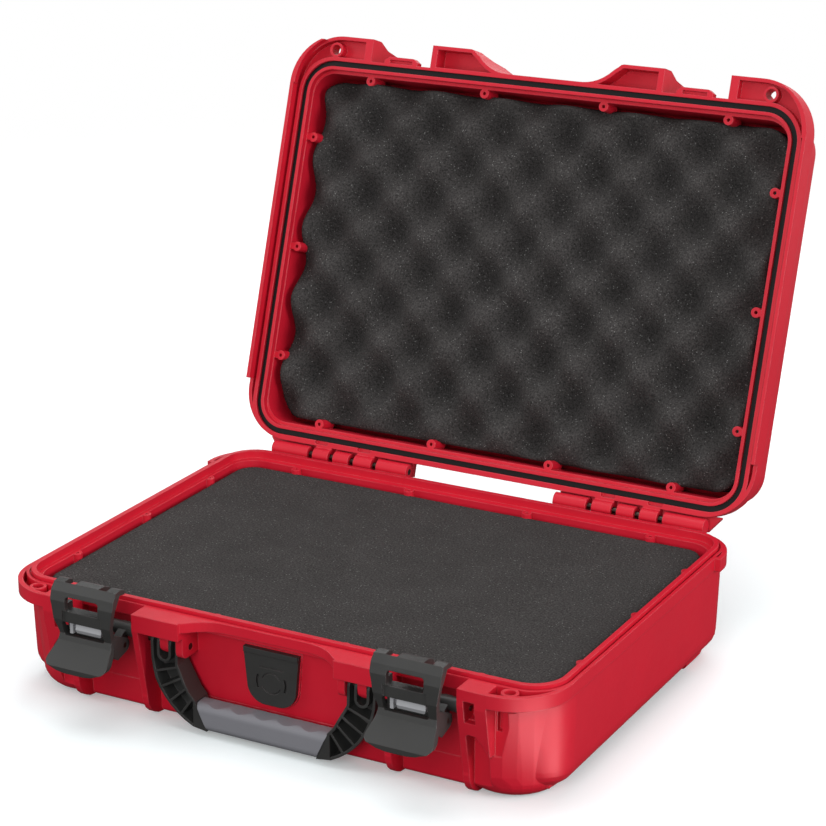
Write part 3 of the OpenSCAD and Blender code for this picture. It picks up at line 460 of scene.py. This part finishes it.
def rounded_spot(u, v, half_x, half_y):
    """Maps a point of a square, each way from -1 to 1, into the foam's rounded outline."""
    x, y = u * half_x, v * half_y
    over_x, over_y = past_corner(x, y, half_x, half_y)
    if over_x > 0 and over_y > 0:
        pull = max(over_x, over_y) / math.hypot(over_x, over_y)
        x = math.copysign(half_x - FOAM_CORNER + pull * over_x, x)
        y = math.copysign(half_y - FOAM_CORNER + pull * over_y, y)
    return x, y


def outline_distance(x, y, half_x, half_y):
    """How far a point lies inside the foam's rounded outline."""
    over_x, over_y = past_corner(x, y, half_x, half_y)
    if over_x > 0 and over_y > 0:
        return max(FOAM_CORNER - math.hypot(over_x, over_y), 0)
    return max(min(half_x - abs(x), half_y - abs(y)), 0)


def grid_rim(nx, ny):
    """The outermost points of a grid of nx by ny cells, in order round it."""
    row = nx + 1
    rim = list(range(nx)) + [nx + j * row for j in range(ny)]
    return rim + [ny * row + i for i in range(nx, 0, -1)] + [j * row for j in range(ny, 0, -1)]


def foam_block(name, low, high, grid, face, side_wander=0.0, hollow=lambda x, y: 0.0):
    """A closed block of foam whose face looks along +Z.

    face(x, y, edge) gives how far the face is set back at a point, edge being the distance to the
    outline, and hollow(x, y) gives how deep the point lies between bumps.
    """
    half_x, half_y = (high.x - low.x) / 2, (high.y - low.y) / 2
    middle = (low + high) / 2
    thickness = high.z - low.z
    nx, ny = (max(4, round(2 * half / grid)) for half in (half_x, half_y))
    points, faces, hollows = [], [], []
    for j in range(ny + 1):
        for i in range(nx + 1):
            x, y = rounded_spot(2 * i / nx - 1, 2 * j / ny - 1, half_x, half_y)
            set_back = face(x, y, outline_distance(x, y, half_x, half_y))
            points.append((middle.x + x, middle.y + y, high.z - set_back))
            hollows.append(hollow(x, y))
    for j in range(ny):
        for i in range(nx):
            a = j * (nx + 1) + i
            faces.append((a, a + 1, a + nx + 2, a + nx + 1))

    rim = grid_rim(nx, ny)
    rings = [rim]
    for share in SIDE_SHARES:
        ring = []
        for a in rim:
            x, y, z = points[a]
            dent = noise.noise(Vector((x, y, thickness * share)) * SIDE_CHANGE) - 0.5
            drift = min(side_wander * dent, 0)
            outward = Vector((x - middle.x, y - middle.y, 0)).normalized()
            ring.append(len(points))
            points.append(
                (x + outward.x * drift, y + outward.y * drift, z + (low.z - z) * share))
            hollows.append(hollows[a])
        rings.append(ring)
    for upper, lower in zip(rings, rings[1:]):
        for k in range(len(rim)):
            n = (k + 1) % len(rim)
            faces.append((upper[n], upper[k], lower[k], lower[n]))
    faces.append(tuple(reversed(rings[-1])))

    mesh = bpy.data.meshes.new(name)
    mesh.from_pydata(points, [], faces)
    mesh.attributes.new(HOLLOW, "FLOAT", "POINT").data.foreach_set("value", hollows)
    mesh.update()
    # only the back, the one face that is not four-sided, stays flat
    for polygon in mesh.polygons:
        polygon.use_smooth = len(polygon.vertices) == 4
    block = bpy.data.objects.new(name, mesh)
    bpy.context.scene.collection.objects.link(block)
    return block


def uneven(x, y, level, change):
    """Smooth unevenness of a cut surface, from 0 to 1."""
    return 0.5 + 0.5 * noise.noise(Vector((x, y, level)) * change)


def rolled_edge(edge, radius):
    """Set-back of a rounded cut edge."""
    if edge >= radius:
        return 0.0
    return radius - math.sqrt(max(radius ** 2 - (radius - edge) ** 2, 0))


def crate_hollow(x, y, foam):
    """How deep the egg-crate face lies between its bumps, from 0 to 1."""
    turn = 2 * math.pi / foam.bump_pitch
    spot = Vector((x, y, 0)) * ASKEW_CHANGE
    x += ASKEW * noise.noise(spot)
    y += ASKEW * noise.noise(spot + Vector((0, 0, ASKEW_LEVEL)))
    crest = 0.5
    for along, across, start in CRATE_WAVES:
        crest += 0.25 * math.cos(turn * (along * x - across * y) + start)
    return 1 - crest


def place_foam(block, node, body):
    """Lets a foam piece stand for its plain solid."""
    block.data.materials.append(finishes()["foam"])
    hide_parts(node)
    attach(block, body)


# ---------- operators ----------


class CASE_OT_shells(bpy.types.Operator):
    """Finish both moulded shells"""
    bl_idname = "case.shells"
    bl_label = "Finish Shells"

    def execute(self, context):
        dress(SHELLS)
        return {"FINISHED"}


class CASE_OT_hardware(bpy.types.Operator):
    """Finish the hinges, the latches, the handle, the vent and the seal"""
    bl_idname = "case.hardware"
    bl_label = "Finish Hardware"

    def execute(self, context):
        dress([name for name in frame["nodes"] if name not in SHELLS + FOAM_NODES])
        return {"FINISHED"}


class CASE_OT_base_foam(bpy.types.Operator):
    """Build the base's foam block and the pad under it"""
    bl_idname = "case.base_foam"
    bl_label = "Build Base Foam"

    def execute(self, context):
        foam = context.scene.case_foam

        def block_face(x, y, edge):
            return foam.waviness * uneven(x, y, 0, SAG_CHANGE) + rolled_edge(edge, foam.edge)

        def pad_face(x, y, edge):
            return rolled_edge(edge, 0.5 * foam.edge)

        low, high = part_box("base_foam")
        block = foam_block("base_foam_block", low, high, foam.grid, block_face, foam.waviness)
        place_foam(block, "base_foam", "base")
        low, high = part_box("base_foam_pad")
        pad = foam_block("bottom_pad", low, high, PAD_GRID, pad_face)
        place_foam(pad, "base_foam_pad", "base")
        return {"FINISHED"}


class CASE_OT_lid_foam(bpy.types.Operator):
    """Build the lid's egg-crate foam"""
    bl_idname = "case.lid_foam"
    bl_label = "Build Lid Foam"

    def execute(self, context):
        foam = context.scene.case_foam

        def hollow(x, y):
            return crate_hollow(x, y, foam)

        def crate_face(x, y, edge):
            return (foam.bump_height * hollow(x, y)
                    + foam.waviness * uneven(x, y, CRATE_LEVEL, CRATE_CHANGE)
                    + rolled_edge(edge, foam.edge))

        # in the shut lid the bumps look down, so the sheet is made lying on its back
        opened = lid_to_rest()
        low, high = node_box("lid_foam", opened)
        over = Matrix.Rotation(math.pi, 4, "X")
        low, high = Vector((low.x, -high.y, -high.z)), Vector((high.x, -low.y, -low.z))
        crate = foam_block(
            "egg_crate_foam", low, high, foam.grid, crate_face, foam.waviness, hollow)
        crate.data.transform(opened @ over)
        crate.data.update()
        place_foam(crate, "lid_foam", "lid")
        return {"FINISHED"}


class CASE_OT_stage(bpy.types.Operator):
    """Set up the floor, the light and the camera"""
    bl_idname = "case.stage"
    bl_label = "Set Up Stage"

    def execute(self, context):
        stage = context.scene.case_stage
        context.scene.view_settings.view_transform = "Standard"
        floor_disc()
        bright_world()
        for lamp in LAMPS:
            soft_lamp(*lamp, stage.lamp_power)
        card = soft_lamp(*CORNER_CARD, stage.lamp_power)
        card.visible_diffuse = False
        place_camera(stage)
        return {"FINISHED"}


# ---------- stage ----------


def soft_lamp(name, place, aim, width, height, power, share):
    """A rectangular softbox aimed at a point, at a share of its power."""
    data = bpy.data.lights.new(name, "AREA")
    data.shape = "RECTANGLE"
    data.size, data.size_y = width, height
    data.energy = power * share
    lamp = bpy.data.objects.new(name, data)
    lamp.location = place
    lamp.rotation_euler = (Vector(aim) - Vector(place)).to_track_quat("-Z", "Y").to_euler()
    lamp.visible_camera = False
    bpy.context.scene.collection.objects.link(lamp)
    return lamp


def place_camera(stage):
    """The camera of the main view."""
    data = bpy.data.cameras.new("Camera")
    data.lens = stage.lens
    data.sensor_width = SENSOR_WIDTH
    camera = bpy.data.objects.new("Camera", data)
    camera.location = stage.camera_at
    camera.rotation_euler = stage.camera_turn
    bpy.context.scene.collection.objects.link(camera)
    bpy.context.scene.camera = camera


def bright_world():
    """A world that is white to the camera and a soft grey in the light and in reflections."""
    world = bpy.data.worlds.new("Studio")
    world.use_nodes = True
    bpy.context.scene.world = world
    tree = world.node_tree
    tree.nodes.clear()
    path = add(tree, "ShaderNodeLightPath").outputs
    seen = reckoned(tree, "MAXIMUM", path["Is Camera Ray"], path["Is Transmission Ray"])
    ambient = add(tree, "ShaderNodeBackground", Color=WHITE, Strength=AMBIENT)
    white = add(tree, "ShaderNodeBackground", Color=WHITE, Strength=1.0)
    chosen = shaders_mixed(
        tree, seen, ambient.outputs["Background"], white.outputs["Background"])
    tree.links.new(chosen, add(tree, "ShaderNodeOutputWorld").inputs["Surface"])


def floor_disc():
    """A white floor that keeps the case's shadow and fades into the backdrop."""
    points, faces = [(0, 0, 0)], []
    for ring in range(1, FLOOR_RINGS + 1):
        for spoke in range(FLOOR_SPOKES):
            angle = 2 * math.pi * spoke / FLOOR_SPOKES
            far = FLOOR_RADIUS * ring / FLOOR_RINGS
            points.append((far * math.cos(angle), far * math.sin(angle), 0))
    for spoke in range(FLOOR_SPOKES):
        after = (spoke + 1) % FLOOR_SPOKES
        faces.append((0, 1 + spoke, 1 + after))
        for ring in range(FLOOR_RINGS - 1):
            inner = 1 + ring * FLOOR_SPOKES
            outer = inner + FLOOR_SPOKES
            faces.append((inner + spoke, outer + spoke, outer + after, inner + after))
    mesh = bpy.data.meshes.new("floor")
    mesh.from_pydata(points, [], faces)
    floor = bpy.data.objects.new("floor", mesh)
    bpy.context.scene.collection.objects.link(floor)
    mesh.materials.append(floor_material())


def floor_material():
    """White to the camera where nothing shades it, and clear towards the rim."""
    material = bpy.data.materials.new("Studio floor")
    material.use_nodes = True
    tree = material.node_tree
    tree.nodes.clear()
    link = tree.links.new
    glow = add(tree, "ShaderNodeEmission", Color=WHITE, Strength=FLOOR_GLOW)
    matt = add(tree, "ShaderNodeBsdfDiffuse", Color=FLOOR_COLOUR)
    both = add(tree, "ShaderNodeAddShader")
    link(glow.outputs["Emission"], both.inputs[0])
    link(matt.outputs["BSDF"], both.inputs[1])
    dull = add(tree, "ShaderNodeBsdfDiffuse", Color=FLOOR_DULL)
    path = add(tree, "ShaderNodeLightPath").outputs
    near = shaders_mixed(
        tree, path["Is Camera Ray"], dull.outputs["BSDF"], both.outputs["Shader"])

    far = add(tree, "ShaderNodeVectorMath", operation="LENGTH")
    link(add(tree, "ShaderNodeTexCoord").outputs["Object"], far.inputs[0])
    start, end = (share * FLOOR_RADIUS for share in FLOOR_FADE)
    fade = ranged(tree, far.outputs["Value"], From_Min=start, From_Max=end,
                  interpolation_type="SMOOTHSTEP")
    clear = add(tree, "ShaderNodeBsdfTransparent")
    faded = shaders_mixed(tree, fade, near, clear.outputs["BSDF"])
    link(faded, add(tree, "ShaderNodeOutputMaterial").inputs["Surface"])
    return material


# ---------- panel ----------

OPERATORS = (
    CASE_OT_shells, CASE_OT_hardware, CASE_OT_base_foam, CASE_OT_lid_foam, CASE_OT_stage)


class CASE_PT_looks(bpy.types.Panel):
    """Colours, foam, stage and pieces of the carry case"""
    bl_idname = "CASE_PT_looks"
    bl_label = "Carry Case"
    bl_space_type = "VIEW_3D"
    bl_region_type = "UI"
    bl_category = "Case"

    def draw(self, context):
        for group in settings():
            box = self.layout.box()
            for name in group.__annotations__:
                box.prop(group, name)
        for operator in OPERATORS:
            self.layout.operator(operator.bl_idname)


CLASSES = (CaseFinishSettings, CaseFoamSettings, CaseStageSettings, *OPERATORS, CASE_PT_looks)


def register():
    for cls in CLASSES:
        bpy.utils.register_class(cls)
    bpy.types.Scene.case_finish = bpy.props.PointerProperty(type=CaseFinishSettings)
    bpy.types.Scene.case_foam = bpy.props.PointerProperty(type=CaseFoamSettings)
    bpy.types.Scene.case_stage = bpy.props.PointerProperty(type=CaseStageSettings)


def unregister():
    for name in ("case_finish", "case_foam", "case_stage"):
        delattr(bpy.types.Scene, name)
    for cls in reversed(CLASSES):
        bpy.utils.unregister_class(cls)


def main():
    register()
    for operator in OPERATORS:
        group, name = operator.bl_idname.split(".")
        getattr(getattr(bpy.ops, group), name)()


if __name__ == "__main__":
    main()
